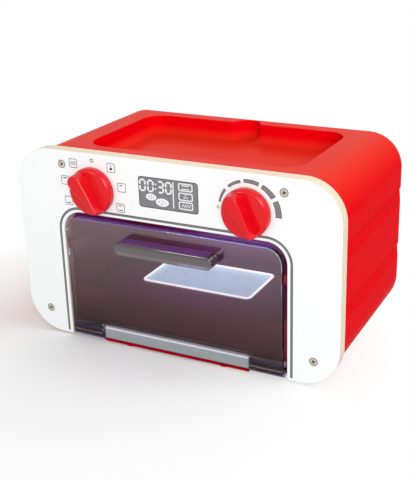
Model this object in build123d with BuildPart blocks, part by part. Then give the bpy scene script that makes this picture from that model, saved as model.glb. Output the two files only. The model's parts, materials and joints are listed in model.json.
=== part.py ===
"""Toy oven: a painted plywood front board on a red moulded housing, with a drop-down tinted door,
two turning knobs, a lit baking plate inside and the electronics that drive it.

Millimetres. X runs to the right, Y into the oven and Z up from the table. It is modelled with Y = 0 at
the board's front face, and written out with the origin on the table under the middle of its box.
"""
import os
from math import cos, radians, sin, tan

from build123d import *

# ---------------------------------------------------------------- driving dimensions
# Outer shape
WIDTH = 335.0            # front board, left to right
HEIGHT = 193.5           # front board, bottom edge to top edge
DEPTH = 190.0            # board's front face to the housing's back
CORNER_R = 38.0          # the board's four corners
FOOT_LIFT = 1.5          # board and housing above the table
BACK_R = 3.0             # rounding round the housing's back

# Front board
BOARD_T = 13.0
BOARD_EDGE_R = 0.8
WINDOW_W = 235.0         # opening for the door
WINDOW_DROP = 60.4       # its top edge below the board's top edge
WINDOW_R = 20.0
LEG_TIP_R = 3.0          # inner corner at the foot of each leg
TOP_SCREW_X = 114.5
TOP_SCREW_DROP = 13.4    # below the board's top edge
LOW_SCREW_X = 143.0
LOW_SCREW_RISE = 24.3    # above the board's bottom edge

# Housing
WALL = 3.0
HOUSING_INSET = 3.0      # sides and top in from the board's edge
HOUSING_DRAFT = 0.6      # degrees, narrower and lower toward the back
HOUSING_TOP_R = 36.0     # corners seen from the front
HOUSING_LOW_R = 43.0
HOUSING_LOW_CUT = 2.0    # how far up the lower corners' rounding is cut off flat
RECESS_W = 225.0         # tray sunk in the top
RECESS_FRONT = 37.0      # its front wall behind the board's face
RECESS_BACK_IN = 18.3    # its back wall inside the housing's back
RECESS_DEPTH = 20.0
RECESS_R = 22.0
RECESS_FLOOR_R = 10.0
ALCOVE_R = 14.0          # round bay in the tray's back wall
ALCOVE_BLEND_R = 5.0     # where the bay meets the wall
RIM_R = 1.0
GROOVE_DROPS = (59.5, 119.5)   # upper edges of each side's finger grooves, below the board's top
GROOVE_H = 16.0
GROOVE_DEPTH = 1.8
GROOVE_LIP = 2.0         # flat at full depth under each upper edge
GROOVE_START = 24.0      # behind the board's face
BOSS_R = 5.5
BOSS_L = 20.0
WEB_T = 3.0

# Door
DOOR_T = 5.0
DOOR_PROUD = 2.5         # face in front of the board
DOOR_GAP_SIDE = 3.8
DOOR_GAP_TOP = 4.3
DOOR_EDGE_R = 0.8
HANDLE_W = 102.0
HANDLE_H = 13.0
HANDLE_OUT = 13.5        # in front of the door's face
HANDLE_DROP = 13.3       # its top below the door's top edge
HANDLE_END_R = 5.5
HANDLE_EDGE = 1.2

# Hinge
BAR_W = 158.0
BAR_H = 12.5
BAR_EDGE_R = 1.5
SILL_T = 2.5             # housing lip that carries the bar
BAR_TOP_GAP = 4.0        # door above the bar
LOBE_GAP = 1.6           # door beside the bar's ends
ROD_R = 2.0
ROD_END_GAP = 1.5        # rod end inside the door's edge
ROD_CHAMFER = 0.4
BARREL_BACK_GAP = 0.5    # barrel to the wall behind it
WASHER_R = 4.0
BAR_SCREW_BITE = 9.5

# Knobs
KNOB_X = 80.0            # each side of the middle
KNOB_DROP = 35.5         # below the board's top edge
KNOB_R = 23.0
KNOB_DISC_T = 7.4
KNOB_FACE_GAP = 1.1      # knob's underside to the board
KNOB_RIM_R = 3.4
GRIP_H = 11.5            # grip above the disc
GRIP_BIG_R = 8.0
GRIP_TIP_R = 3.2
GRIP_EDGE_R = 1.3
GRIP_TAPER = 5.0         # degrees
GRIP_ROOT = 2.6          # grip's start inside the disc
GRIP_INSET = 0.6         # wide end inside the disc's edge
GRIP_TIP_INSET = 0.3
MODE_ANGLE = -37.5       # where each knob points, clockwise from the top
TIMER_ANGLE = -32.0
KNOB_WALL = 2.5
STEM_R = 5.5
STEM_HOLE_GAP = 1.0
SHAFT_R = 3.0
SHAFT_FLAT = 0.8
SWITCH_R = 10.5
SWITCH_T = 12.0
SWITCH_WALL = 1.0        # switch's closed back
BUSH_R = 4.6
BUSH_L = 2.2
FELT_T = 0.8
FELT_W = 4.5

# Oven cavity
CAVITY_W = 228.0
CAVITY_FLOOR = 52.6
CAVITY_TOP_IN = 3.1      # ceiling below the window's top edge
CAVITY_BACK_IN = 52.0    # back wall inside the housing's back
CAVITY_R = 8.0
LINER_T = 2.5
FLANGE_W = 10.0
STOP_IN = 7.0            # pads that the shut door rests against, inward from the liner's sides
STOP_H = 8.0
STOP_Z = 100.0
LINER_SCREW_RISE = 25.0  # lowest liner screws above the flange's bottom edge

# Lit baking plate: a shallow tray let into the cavity's floor, over a light box
PLATE_W = 120.0
PLATE_D = 64.0
PLATE_Y = 79.0
PLATE_TOP = 54.0
PLATE_R = 6.0
PLATE_RIM = 2.0
PLATE_EDGE_R = 0.6
PLATE_DISH = 3.0
PLATE_FLOOR_T = 1.5
PLATE_SEAT = 0.8         # width of the rim's rest on the cavity's floor
PLATE_GAP = 0.2          # tray to the hole round it
LIGHT_BOX_H = 14.0       # cavity's floor to the box's underside
LEDGE_W = 3.0            # ledge that the lamps' board lies on
LEDGE_T = 2.0
LED_R = 2.5
LED_H = 4.0
LED_DOME_R = 1.5

# Ceiling lamp
LAMP_Y = 62.0
LENS_R = 14.0
LENS_NECK_R = 11.5
LENS_DROP = 4.0
LENS_EDGE_R = 2.0
LENS_T = 1.5
LAMP_LED_R = 4.0
LAMP_DOME_R = 2.4

# Electronics
PCB_T = 1.6
CONTROL_SIDE = 8.5       # board past each switch
CONTROL_MARGIN = 1.5     # board to the liner below it
CONTROL_OVER = 0.5       # board past each switch, above
SPACER_R = 2.8
SPACER_INSET = 4.5
CONNECTOR = (8.0, 6.0, 5.0)   # wide, deep, high
CONNECTORS_X = {"plate": -62.0, "speaker": -38.0, "lamp": 10.0, "battery": 62.0}
CHIP = (14.0, 1.8, 10.0)
CHIP_X = -14.0
CAPACITOR_R = 4.0
CAPACITOR_L = 9.0
CAPACITOR_X = 34.0
CABLE_R = 1.4
CABLE_BEND = 9.0
CABLE_RISE = 4.2         # lowest cable run above the housing's floor

# Speaker
SPEAKER_X = -90.0
SPEAKER_Z = 95.0
SPEAKER_R = 20.0
SPEAKER_FLANGE_T = 1.8
SPEAKER_FLANGE_W = 2.0
SPEAKER_L = 10.0
SPEAKER_SHEET = 1.0      # basket's sheet steel
BASKET_HOLE_R = 2.4
BASKET_HOLES_IN = 6.4    # hole centres inside the speaker's edge
CONE_T = 0.8
CONE_TIP_R = 4.5
CONE_L = 7.0
MAGNET_R = 9.0
MAGNET_T = 6.0
MAGNET_CHAMFER = 0.6
COLLAR_H = 4.0
COLLAR_T = 1.8
GRILLE_HOLE_R = 1.3
GRILLE_PITCH = 4.4
GRILLE_RINGS = 3

# Batteries
CELL_R = 7.2
CELL_L = 50.5
CELL_COUNT = 3
CELL_PITCH = 15.6
NUB_R = 2.7
NUB_L = 1.2
SPRING_L = 6.3
SPRING_FOOT_R = 4.6
SPRING_TIP_R = 2.6
SPRING_WIRE = 0.8
CONTACT_T = 0.6
CONTACT_W = 12.6
CONTACT_H = 12.4
WELL_BACK_IN = 49.0      # well's middle inside the housing's back
WELL_WALL = 1.6
WELL_SLACK = 1.0         # well longer than its row of cells
REBATE = 3.0             # ledge that the cover sits on
COVER_T = 2.0
COVER_R = 1.5
COVER_SCREW_OFFSET = 6.5
COVER_BOSS_R = 3.2
THUMB_GROOVES = (6.0, 10.0)   # inside the well's free end
THUMB_GROOVE_W = 1.2
THUMB_GROOVE_DEPTH = 0.6
THUMB_GROOVE_L = 24.0

# Fasteners and fits
SCREW_R = 1.75
SCREW_HEAD_R = 4.3
SCREW_HEAD_ANGLE = 90.0  # countersink, side to side
SCREW_SINK = 0.2
SCREW_CROSS_W = 0.9      # cross recess: arm's width, depth and turn
SCREW_CROSS_DEPTH = 1.2
SCREW_CROSS_TURN = 25.0
SMALL_SCREW_R = 1.4
SMALL_HEAD_R = 2.9
SMALL_HEAD_H = 1.8
SMALL_CROSS_W = 0.6
SMALL_CROSS_L = 3.8
BITE = 7.0               # depth of a small screw's hole
TIP_GAP = 1.0            # room past a screw's tip
FOOT_R = 6.0
FOOT_SEAT = 0.8
FOOT_EDGE_R = 0.4
FOOT_MARGIN = 0.5        # front feet behind the edge in front of them
FOOT_ASIDE = 12.0        # inner feet outward from the bar's screws
FOOT_X = 104.0           # outer feet
FEET_BACK_IN = 14.0      # back feet inside the housing's back
RUN_FIT = 0.05           # radial, turning
SNUG_FIT = 0.02          # radial, not turning
SEAT_GAP = 0.3
CUT_PAST = 1.0           # a cut runs this far past the surface it opens

# ---------------------------------------------------------------- places worked out from them
ON_TOP = (Align.CENTER, Align.CENTER, Align.MIN)
BELOW = (Align.CENTER, Align.CENTER, Align.MAX)

base_z = FOOT_LIFT
top_z = FOOT_LIFT + HEIGHT
mid_z = FOOT_LIFT + HEIGHT / 2
back_in = DEPTH - WALL
floor_in = base_z + WALL
housing_half = WIDTH / 2 - HOUSING_INSET
housing_top = top_z - HOUSING_INSET
housing_low = base_z - HOUSING_LOW_CUT - (DEPTH - BOARD_T) * tan(radians(HOUSING_DRAFT))
window_top = top_z - WINDOW_DROP
knob_z = top_z - KNOB_DROP

door_back = DOOR_T - DOOR_PROUD
door_half = WINDOW_W / 2 - DOOR_GAP_SIDE
door_top = window_top - DOOR_GAP_TOP
barrel_r = (BOARD_T + DOOR_PROUD - BARREL_BACK_GAP) / 2
hinge_y = barrel_r - DOOR_PROUD
hinge_z = base_z + barrel_r
bar_bottom = base_z + SILL_T
bar_top = bar_bottom + BAR_H
lobe_in = BAR_W / 2 + LOBE_GAP

cavity_half = CAVITY_W / 2
cavity_top = window_top - CAVITY_TOP_IN
cavity_back = DEPTH - CAVITY_BACK_IN
liner_half = cavity_half + LINER_T
liner_top = cavity_top + LINER_T
liner_bottom = CAVITY_FLOOR - LINER_T
flange_half = liner_half + FLANGE_W
flange_top = liner_top + FLANGE_W
flange_bottom = floor_in + SEAT_GAP
flange_back = BOARD_T + LINER_T

recess_back = DEPTH - RECESS_BACK_IN
recess_floor = housing_top - RECESS_DEPTH
recess_under = recess_floor - WALL
control_low = flange_top + CONTROL_MARGIN
control_high = knob_z + SWITCH_R + CONTROL_OVER
control_w = 2 * (KNOB_X + SWITCH_R + CONTROL_SIDE)
control_front = BOARD_T + BUSH_L + SWITCH_T
control_back = control_front + PCB_T

stop_w = STOP_IN + LINER_T / 2
light_w = PLATE_W - 2 * PLATE_SEAT
light_d = PLATE_D - 2 * PLATE_SEAT
light_r = PLATE_R - PLATE_SEAT
ledge_z = CAVITY_FLOOR - LIGHT_BOX_H
plate_board_z = ledge_z + LEDGE_T
plate_board_w = light_w - 2 * SEAT_GAP
plate_board_d = light_d - 2 * SEAT_GAP
lens_low = cavity_top - LENS_DROP

well_y = DEPTH - WELL_BACK_IN
well_half = (CELL_L + SPRING_L) / 2 + CONTACT_T
well_depth = CELL_COUNT * CELL_PITCH + WELL_SLACK
cell_z = base_z + COVER_T + SEAT_GAP + CELL_R
well_roof = cell_z + CELL_R + SEAT_GAP
cover_reach = well_half + COVER_SCREW_OFFSET + SMALL_HEAD_R + REBATE / 2

board_screws_at = [(x, z) for x, z in ((-TOP_SCREW_X, top_z - TOP_SCREW_DROP),
                                       (TOP_SCREW_X, top_z - TOP_SCREW_DROP),
                                       (-LOW_SCREW_X, base_z + LOW_SCREW_RISE),
                                       (LOW_SCREW_X, base_z + LOW_SCREW_RISE))]
flange_mid_x = liner_half + FLANGE_W / 2
flange_mid_z = liner_top + FLANGE_W / 2
liner_screws_at = [(side * x, z) for side in (-1, 1)
                   for x, z in ((flange_mid_x, flange_bottom + LINER_SCREW_RISE), (flange_mid_x, STOP_Z),
                                (cavity_half / 2, flange_mid_z))]
spacers_at = [(side * (control_w / 2 - SPACER_INSET), z) for side in (-1, 1)
              for z in (control_low + SPACER_INSET, control_high - SPACER_INSET)]
bar_screws_at = [(side * BAR_W / 4, BOARD_T - SMALL_HEAD_R - RUN_FIT) for side in (-1, 1)]
inner_foot = BAR_W / 4 + FOOT_ASIDE
feet_at = ([(side * inner_foot, FOOT_R + FOOT_MARGIN) for side in (-1, 1)]
           + [(side * FOOT_X, BOARD_T + FOOT_R + FOOT_MARGIN) for side in (-1, 1)]
           + [(side * x, DEPTH - FEET_BACK_IN) for side in (-1, 1) for x in (inner_foot, FOOT_X)])
screw_head_h = (SCREW_HEAD_R - SCREW_SINK - SCREW_R) / tan(radians(SCREW_HEAD_ANGLE / 2))


def upright(y):
    """Sketch plane facing the viewer at depth y: its x is X, its y is Z, and down is into the oven."""
    return Plane(origin=(0, y, 0), x_dir=(1, 0, 0), z_dir=(0, -1, 0))


def dial(x, y, angle):
    """Plane facing the viewer at a knob's centre, its x pointing at angle clockwise from the top."""
    turn = radians(angle)
    return Plane(origin=(x, y, knob_z), x_dir=(sin(turn), 0, cos(turn)), z_dir=(0, -1, 0))


def housing_block(inward, back_r):
    """Tapered block with the housing's outline this far inward, its back rounded, its bottom flat."""
    with BuildPart() as block:
        with BuildSketch(upright(BOARD_T)) as outline:
            with Locations((0, housing_top - inward)):
                Rectangle(2 * (housing_half - inward),
                          housing_top - housing_low - 2 * inward,
                          align=(Align.CENTER, Align.MAX))
            fillet(outline.vertices().group_by(Axis.Y)[-1], HOUSING_TOP_R - inward)
            fillet(outline.vertices().group_by(Axis.Y)[0], HOUSING_LOW_R - inward)
        extrude(amount=-(DEPTH - inward - BOARD_T), taper=HOUSING_DRAFT)
        fillet(block.faces().sort_by(Axis.Y)[-1].edges(), back_r)
        split(bisect_by=Plane.XY.offset(base_z + inward), keep=Keep.TOP)
    return block.part


def pan_screw(head_r, head_h, shank_r, length):
    """Pan-head screw at each active location, seated at local z = 0 with its shank going down."""
    Cylinder(head_r, head_h, align=ON_TOP)
    Cylinder(shank_r, length, align=BELOW)
    with Locations((0, 0, head_h)):
        Box(SMALL_CROSS_L, SMALL_CROSS_W, head_h, mode=Mode.SUBTRACT)
        Box(SMALL_CROSS_W, SMALL_CROSS_L, head_h, mode=Mode.SUBTRACT)


def cable(points):
    """Round cable along straight runs joined by tangent arcs."""
    with BuildLine() as route:
        FilletPolyline(*points, radius=CABLE_BEND)
    start = Plane(origin=route.line @ 0, z_dir=route.line % 0)
    with BuildPart() as tube:
        with BuildSketch(start):
            Circle(CABLE_R)
        sweep(path=route.line)
    return tube


# ---------------------------------------------------------------- front board
with BuildPart() as front_board:
    with BuildSketch(upright(0)) as board_face:
        with Locations((0, mid_z)):
            RectangleRounded(WIDTH, HEIGHT, CORNER_R)
        with Locations((0, window_top)):
            Rectangle(WINDOW_W, window_top, align=(Align.CENTER, Align.MAX), mode=Mode.SUBTRACT)
        window_corners = board_face.vertices().filter_by(
            lambda v: abs(abs(v.X) - WINDOW_W / 2) < 0.01).group_by(Axis.Y)
        fillet(window_corners[-1], WINDOW_R)
        fillet(window_corners[0], LEG_TIP_R)
    extrude(amount=-BOARD_T)
    fillet(front_board.faces().sort_by(Axis.Y)[0].edges(), BOARD_EDGE_R)
    with BuildSketch(upright(0)):
        with Locations((-KNOB_X, knob_z), (KNOB_X, knob_z)):
            Circle(STEM_R + STEM_HOLE_GAP)
    extrude(amount=-BOARD_T, mode=Mode.SUBTRACT)
    with Locations(upright(0)):
        with Locations(*board_screws_at):
            CounterSinkHole(SCREW_R + SNUG_FIT, SCREW_HEAD_R + SNUG_FIT,
                            counter_sink_angle=SCREW_HEAD_ANGLE)
    with BuildSketch(upright(BOARD_T)):
        with Locations(*liner_screws_at, *spacers_at):
            Circle(SMALL_SCREW_R + SNUG_FIT)
    extrude(amount=BITE, mode=Mode.SUBTRACT)
front_board.part.label = "front_board"

# Countersunk Phillips screws that hold the board to the housing
with BuildPart() as board_screws:
    with Locations(upright(SCREW_SINK)):
        with Locations(*board_screws_at):
            Cone(SCREW_R, SCREW_HEAD_R - SCREW_SINK, screw_head_h, align=BELOW)
            Cylinder(SCREW_R, BOARD_T + BOSS_L - WEB_T - SCREW_SINK, align=BELOW)
            for arm in (SCREW_CROSS_TURN, SCREW_CROSS_TURN + 90):
                Box(SCREW_HEAD_R, SCREW_CROSS_W, 2 * SCREW_CROSS_DEPTH, rotation=(0, 0, arm),
                    mode=Mode.SUBTRACT)
board_screws.part.label = "board_screws"

# ---------------------------------------------------------------- housing
# The tray sunk in the top, as the solid that it takes out
with BuildPart() as recess:
    with BuildSketch(Plane.XY.offset(recess_floor)) as recess_plan:
        with Locations((0, (RECESS_FRONT + recess_back) / 2)):
            RectangleRounded(RECESS_W, recess_back - RECESS_FRONT, RECESS_R)
        with Locations((0, recess_back)):
            Circle(ALCOVE_R)
        fillet(recess_plan.vertices().filter_by(lambda v: abs(abs(v.X) - ALCOVE_R) < 0.01),
               ALCOVE_BLEND_R)
    extrude(amount=RECESS_DEPTH)
    fillet(recess.faces().sort_by(Axis.Z)[0].edges(), RECESS_FLOOR_R)

# The hollow inside the housing, less everything that is moulded into it
with BuildPart() as interior:
    add(housing_block(WALL, BACK_R / 2))
    with BuildSketch(Plane.XY.offset(recess_under)):
        with Locations((0, (RECESS_FRONT + recess_back) / 2)):
            RectangleRounded(RECESS_W + 2 * WALL, recess_back - RECESS_FRONT + 2 * WALL,
                             RECESS_R + WALL)
        with Locations((0, recess_back)):
            Circle(ALCOVE_R + WALL)
    extrude(amount=RECESS_DEPTH + WALL, mode=Mode.SUBTRACT)
    # bosses for the board's screws, each on a web
    with BuildSketch(upright(BOARD_T)):
        with Locations(*board_screws_at):
            Circle(BOSS_R)
        with Locations(*board_screws_at[:2]):
            Rectangle(WEB_T, TOP_SCREW_DROP, align=(Align.CENTER, Align.MIN))
        with Locations(*board_screws_at[2:]):
            Rectangle(WEB_T, LOW_SCREW_RISE, align=(Align.CENTER, Align.MAX))
    extrude(amount=-BOSS_L, mode=Mode.SUBTRACT)
    # battery well and the boss for its cover's screw
    with Locations(Plane.XY.offset(floor_in)):
        with Locations((0, well_y)):
            Box(2 * (well_half + WELL_WALL), well_depth + 2 * WELL_WALL,
                well_roof + WELL_WALL - floor_in, align=ON_TOP, mode=Mode.SUBTRACT)
        with Locations((well_half + COVER_SCREW_OFFSET, well_y)):
            Cylinder(COVER_BOSS_R, BITE, align=ON_TOP, mode=Mode.SUBTRACT)
    # collar that the speaker sits in
    with BuildSketch(upright(back_in - COLLAR_H)):
        with Locations((SPEAKER_X, SPEAKER_Z)):
            Circle(SPEAKER_R + SEAT_GAP + COLLAR_T)
            Circle(SPEAKER_R + SEAT_GAP, mode=Mode.SUBTRACT)
    extrude(amount=-COLLAR_H, mode=Mode.SUBTRACT)

with BuildPart() as housing:
    add(housing_block(0, BACK_R))
    add(recess.part, mode=Mode.SUBTRACT)
    rim = housing.faces().sort_by(Axis.Z)[-1].inner_wires()[0]
    fillet(rim.edges(), RIM_R)
    add(interior.part, mode=Mode.SUBTRACT)
    # finger grooves along both sides: a sharp upper edge, then a slope back out
    for side in (-1, 1):
        with BuildSketch(upright(BOARD_T)) as grooves:
            for groove_top in [top_z - drop for drop in GROOVE_DROPS]:
                with BuildLine():
                    Polyline((side * housing_half, groove_top),
                             (side * (housing_half - GROOVE_DEPTH), groove_top),
                             (side * (housing_half - GROOVE_DEPTH), groove_top - GROOVE_LIP),
                             (side * housing_half, groove_top - GROOVE_H),
                             (side * (housing_half + CUT_PAST), groove_top - GROOVE_H),
                             (side * (housing_half + CUT_PAST), groove_top),
                             (side * housing_half, groove_top))
                make_face()
        along = Vector(-side * tan(radians(HOUSING_DRAFT)), 1, 0)
        start = (GROOVE_START - BOARD_T) * along
        for face in grooves.sketch.faces():
            add(Solid.extrude(Pos(start) * face, DEPTH * along), mode=Mode.SUBTRACT)
    # lip under the hinge bar, between the board's legs
    with Locations(Plane.XY.offset(base_z)):
        with Locations((0, 0)):
            Box(BAR_W, BOARD_T + WALL, SILL_T, align=(Align.CENTER, Align.MIN, Align.MIN))
        with Locations(*feet_at):
            Cylinder(FOOT_R + SNUG_FIT, FOOT_SEAT, align=ON_TOP, mode=Mode.SUBTRACT)
        with Locations(*bar_screws_at):
            Cylinder(SMALL_SCREW_R + SNUG_FIT, SILL_T, align=ON_TOP, mode=Mode.SUBTRACT)
            Cylinder(SMALL_HEAD_R + SNUG_FIT, SMALL_HEAD_H / 2, align=ON_TOP, mode=Mode.SUBTRACT)
        with Locations((0, well_y)):
            Box(2 * well_half, well_depth, well_roof - base_z, align=ON_TOP, mode=Mode.SUBTRACT)
        with Locations((-well_half - REBATE, well_y)):
            Box(cover_reach + well_half + REBATE, well_depth + 2 * REBATE, COVER_T + SNUG_FIT,
                align=(Align.MIN, Align.CENTER, Align.MIN), mode=Mode.SUBTRACT)
        with Locations((well_half + COVER_SCREW_OFFSET, well_y)):
            Cylinder(SMALL_SCREW_R + SNUG_FIT, WALL + BITE - TIP_GAP, align=ON_TOP, mode=Mode.SUBTRACT)
    # pilot holes for the board's screws
    with BuildSketch(upright(BOARD_T)):
        with Locations(*board_screws_at):
            Circle(SCREW_R + SNUG_FIT)
    extrude(amount=-(BOSS_L - WEB_T + TIP_GAP), mode=Mode.SUBTRACT)
    # sound holes in the back, in rings
    with BuildSketch(upright(DEPTH)):
        with Locations((SPEAKER_X, SPEAKER_Z)):
            Circle(GRILLE_HOLE_R)
            for ring in range(1, GRILLE_RINGS + 1):
                with PolarLocations(ring * GRILLE_PITCH, 6 * ring):
                    Circle(GRILLE_HOLE_R)
    extrude(amount=WALL, mode=Mode.SUBTRACT)
housing.part.label = "housing"

with BuildPart() as feet:
    with Locations(*[(x, y, 0) for x, y in feet_at]):
        Cylinder(FOOT_R, base_z + FOOT_SEAT, align=ON_TOP)
    fillet(feet.edges().filter_by(GeomType.CIRCLE).group_by(Axis.Z)[0], FOOT_EDGE_R)
feet.part.label = "feet"

# ---------------------------------------------------------------- door and hinge
# Clear tinted panel with its grip ledge and, at each lower corner, a barrel for the rod
with BuildPart() as door:
    with BuildSketch(upright(-DOOR_PROUD)) as door_face:
        with Locations((0, door_top)):
            Rectangle(2 * door_half, door_top - hinge_z, align=(Align.CENTER, Align.MAX))
        fillet(door_face.vertices().group_by(Axis.Y)[-1], WINDOW_R - DOOR_GAP_SIDE)
        with Locations((0, hinge_z)):
            Rectangle(2 * lobe_in, bar_top + BAR_TOP_GAP - hinge_z, align=(Align.CENTER, Align.MIN),
                      mode=Mode.SUBTRACT)
    extrude(amount=-DOOR_T)
    front_edges = door.faces().sort_by(Axis.Y)[0].edges().filter_by(
        lambda edge: edge.center().Z > hinge_z + 0.01)
    fillet(front_edges, DOOR_EDGE_R)
    with BuildSketch(Plane(origin=(lobe_in, hinge_y, hinge_z), x_dir=(0, 1, 0), z_dir=(1, 0, 0))):
        Circle(barrel_r)
    extrude(amount=door_half - lobe_in)
    with BuildSketch(Plane(origin=(-door_half, hinge_y, hinge_z), x_dir=(0, 1, 0), z_dir=(1, 0, 0))):
        Circle(barrel_r)
    extrude(amount=door_half - lobe_in)
    with BuildSketch(Plane(origin=(-door_half, hinge_y, hinge_z), x_dir=(0, 1, 0), z_dir=(1, 0, 0))):
        Circle(ROD_R + RUN_FIT)
    extrude(amount=2 * door_half, mode=Mode.SUBTRACT)
    with BuildSketch(upright(-DOOR_PROUD + DOOR_T / 2)):
        with Locations((0, door_top - HANDLE_DROP - HANDLE_H / 2)):
            RectangleRounded(HANDLE_W, HANDLE_H, HANDLE_END_R)
    extrude(amount=HANDLE_OUT + DOOR_T / 2)
    fillet(door.faces().sort_by(Axis.Y)[0].edges(), HANDLE_EDGE)
door.part.label = "door"

with BuildPart() as hinge_bar:
    with Locations((0, 0, bar_bottom)):
        Box(BAR_W, BOARD_T, BAR_H, align=(Align.CENTER, Align.MIN, Align.MIN))
    outer_edges = (hinge_bar.faces().sort_by(Axis.Y)[0].edges()
                   + hinge_bar.faces().sort_by(Axis.Z)[-1].edges().filter_by(Axis.Y))
    fillet(outer_edges, BAR_EDGE_R)
    with Locations(Location((0, hinge_y, hinge_z), (0, 90, 0))):
        Cylinder(ROD_R + SNUG_FIT, BAR_W, mode=Mode.SUBTRACT)
    with Locations(Plane.XY.offset(bar_bottom)):
        with Locations(*bar_screws_at):
            Cylinder(SMALL_SCREW_R + SNUG_FIT, BAR_SCREW_BITE, align=ON_TOP, mode=Mode.SUBTRACT)
hinge_bar.part.label = "hinge_bar"

with BuildPart() as hinge_rod:
    with Locations(Location((0, hinge_y, hinge_z), (0, 90, 0))):
        Cylinder(ROD_R, 2 * (door_half - ROD_END_GAP))
    chamfer(hinge_rod.edges().filter_by(GeomType.CIRCLE), ROD_CHAMFER)
hinge_rod.part.label = "hinge_rod"

# Rubber washers between the bar's ends and the door, which hold the door where it is left
washer_t = LOBE_GAP - SEAT_GAP
with BuildPart() as hinge_washers:
    for side in (-1, 1):
        with Locations(Location((side * (BAR_W / 2 + washer_t / 2), hinge_y, hinge_z), (0, 90, 0))):
            Cylinder(WASHER_R, washer_t)
            Cylinder(ROD_R + SNUG_FIT, washer_t, mode=Mode.SUBTRACT)
hinge_washers.part.label = "hinge_washers"

with BuildPart() as bar_screws:
    seat = Plane(origin=(0, 0, base_z + SMALL_HEAD_H / 2), x_dir=(1, 0, 0), z_dir=(0, 0, -1))
    with Locations(seat):
        with Locations(*[(x, -y) for x, y in bar_screws_at]):
            pan_screw(SMALL_HEAD_R, SMALL_HEAD_H, SMALL_SCREW_R,
                      SILL_T - SMALL_HEAD_H / 2 + BAR_SCREW_BITE - TIP_GAP)
bar_screws.part.label = "bar_screws"


# ---------------------------------------------------------------- knobs and their switches
def knob(x, angle):
    """Round knob with a tapered grip that points at angle, hollow behind, on a stem with a D bore."""
    disc_front = -KNOB_FACE_GAP - KNOB_DISC_T
    with BuildPart() as body:
        with BuildSketch(dial(x, -KNOB_FACE_GAP, angle)):
            Circle(KNOB_R)
        extrude(amount=KNOB_DISC_T)
        fillet(body.faces().sort_by(Axis.Y)[0].edges(), KNOB_RIM_R)
        with BuildSketch(dial(x, -KNOB_FACE_GAP, angle)):
            Circle(KNOB_R - KNOB_WALL)
            Circle(STEM_R + KNOB_WALL, mode=Mode.SUBTRACT)
        extrude(amount=KNOB_DISC_T - KNOB_WALL, mode=Mode.SUBTRACT)
        with BuildSketch(dial(x, disc_front + GRIP_ROOT, angle)):
            with Locations((KNOB_R - GRIP_INSET - GRIP_BIG_R, 0)):
                Circle(GRIP_BIG_R)
            with Locations((-(KNOB_R - GRIP_TIP_INSET - GRIP_TIP_R), 0)):
                Circle(GRIP_TIP_R)
            make_hull()
        extrude(amount=GRIP_H + GRIP_ROOT, taper=GRIP_TAPER)
        fillet(body.faces().sort_by(Axis.Y)[0].edges(), GRIP_EDGE_R)
        with BuildSketch(dial(x, -KNOB_FACE_GAP - KNOB_WALL, angle)):
            Circle(STEM_R)
        extrude(amount=-(KNOB_FACE_GAP + KNOB_WALL + BOARD_T - STEM_HOLE_GAP))
        with BuildSketch(dial(x, BOARD_T - STEM_HOLE_GAP, angle)):
            Circle(SHAFT_R + SNUG_FIT)
            with Locations((SHAFT_R - SHAFT_FLAT + SNUG_FIT, 0)):
                Rectangle(SHAFT_R, 3 * SHAFT_R, align=(Align.MIN, Align.CENTER), mode=Mode.SUBTRACT)
        extrude(amount=BOARD_T - STEM_HOLE_GAP - disc_front, mode=Mode.SUBTRACT)
    return body


def knob_shaft(x, angle):
    """Switch shaft: round inside the switch, with a flat along the stretch inside the knob."""
    tip = -KNOB_FACE_GAP - KNOB_DISC_T + SEAT_GAP
    with BuildPart() as body:
        with BuildSketch(dial(x, tip, angle)):
            Circle(SHAFT_R)
        extrude(amount=-(control_front - SWITCH_WALL - SEAT_GAP - tip))
        with BuildSketch(dial(x, tip, angle)):
            with Locations((SHAFT_R - SHAFT_FLAT, 0)):
                Rectangle(SHAFT_R, 3 * SHAFT_R, align=(Align.MIN, Align.CENTER))
        extrude(amount=-(BOARD_T - tip), mode=Mode.SUBTRACT)
    return body


def rotary_switch(x):
    """Round rotary switch on the control board, its bush reaching the back of the front board."""
    with BuildPart() as body:
        with BuildSketch(dial(x, control_front, 0)):
            Circle(SWITCH_R)
        extrude(amount=SWITCH_T)
        with BuildSketch(dial(x, control_front - SWITCH_T, 0)):
            Circle(BUSH_R)
        extrude(amount=BUSH_L)
        with BuildSketch(dial(x, BOARD_T, 0)):
            Circle(SHAFT_R + RUN_FIT)
        extrude(amount=-(control_front - SWITCH_WALL - BOARD_T), mode=Mode.SUBTRACT)
    return body


mode_knob = knob(-KNOB_X, MODE_ANGLE)
mode_knob.part.label = "mode_knob"
timer_knob = knob(KNOB_X, TIMER_ANGLE)
timer_knob.part.label = "timer_knob"
mode_shaft = knob_shaft(-KNOB_X, MODE_ANGLE)
mode_shaft.part.label = "mode_shaft"
timer_shaft = knob_shaft(KNOB_X, TIMER_ANGLE)
timer_shaft.part.label = "timer_shaft"
mode_switch = rotary_switch(-KNOB_X)
mode_switch.part.label = "mode_switch"
timer_switch = rotary_switch(KNOB_X)
timer_switch.part.label = "timer_switch"

# Felt rings under the knobs
with BuildPart() as knob_felts:
    for x in (-KNOB_X, KNOB_X):
        with BuildSketch(dial(x, 0, 0)):
            Circle(STEM_R + STEM_HOLE_GAP + FELT_W)
            Circle(STEM_R + STEM_HOLE_GAP, mode=Mode.SUBTRACT)
    extrude(amount=FELT_T)
knob_felts.part.label = "knob_felts"

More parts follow.
